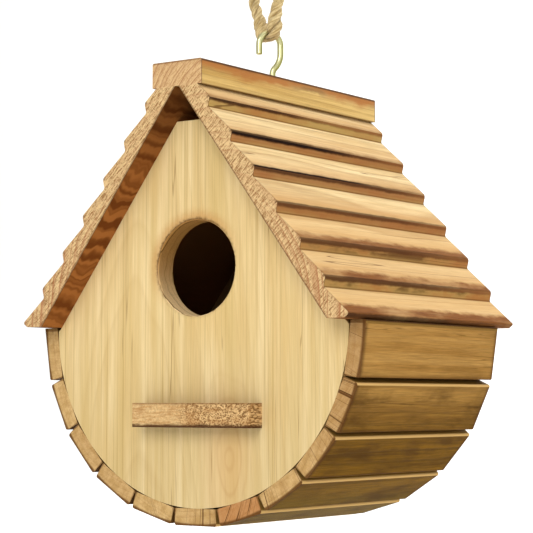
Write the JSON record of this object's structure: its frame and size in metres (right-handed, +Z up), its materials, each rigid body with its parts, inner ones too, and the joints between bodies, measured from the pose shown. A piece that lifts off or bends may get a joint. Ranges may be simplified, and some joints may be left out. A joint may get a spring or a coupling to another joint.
{
  "type": "hanging birdhouse",
  "caption": "Hanging wooden birdhouse with a stepped gable roof, a barrel of slats, a round entrance, a perch and a rear clean-out cover.",
  "frame": {"origin": "where the two strands of the hanging rope meet under their knot; the house hangs plumb below it", "axes": "+Z up, the front with its entrance faces -Y, the ridge runs along Y, +X to the right seen from the front"},
  "size_m": [0.1886, 0.15, 0.3205],
  "materials": {
    "pine_panel": "sanded, oiled",
    "stained_slats": "stained, satin",
    "torched_roof": "scorched along the edges, oiled",
    "torched_cap": "scorched, oiled",
    "rough_perch": "rough sawn",
    "stained_cover": "sanded, oiled",
    "brass_wire": "bright plated",
    "zinc_steel": "zinc plated",
    "jute_rope": "twisted jute"
  },
  "bodies": {
    "hanger": {"hanging_rope": "jute_rope", "rope_knot": "jute_rope"},
    "hook": {"screw_hook": "brass_wire"},
    "house": {"front_panel": "pine_panel", "back_panel": "pine_panel", "slat_01": "stained_slats", "slat_02": "stained_slats", "slat_03": "stained_slats", "slat_04": "stained_slats", "slat_05": "stained_slats", "slat_06": "stained_slats", "slat_07": "stained_slats", "slat_08": "stained_slats", "slat_09": "stained_slats", "slat_10": "stained_slats", "slat_11": "stained_slats", "roof_board_left": "torched_roof", "roof_board_right": "torched_roof", "ridge_cap": "torched_cap", "perch": "rough_perch", "perch_screws": "zinc_steel", "slat_pins_front": "zinc_steel", "slat_pins_back": "zinc_steel", "roof_pins_front": "zinc_steel", "roof_pins_back": "zinc_steel", "cap_pins": "zinc_steel", "pivot_screw": "zinc_steel"},
    "cover": {"cleanout_cover": "stained_cover"}
  },
  "joints": [
    {"name": "hook_swing", "type": "hinge", "parent": "hanger", "child": "hook", "pos_m": [-0.00075, 0.0008, -0.0506], "axis": [0.9659, -0.2588, 0], "range_deg": [-30, 30]},
    {"name": "hook_turn", "type": "hinge", "parent": "hook", "child": "house", "pos_m": [0, 0.0021, -0.071], "axis": [0, 0, 1], "range_deg": [-90, 90]},
    {"name": "cover_swing", "type": "hinge", "parent": "house", "child": "cover", "pos_m": [0, 0.0643, -0.1924], "axis": [0, 1, 0], "continuous": true}
  ]
}
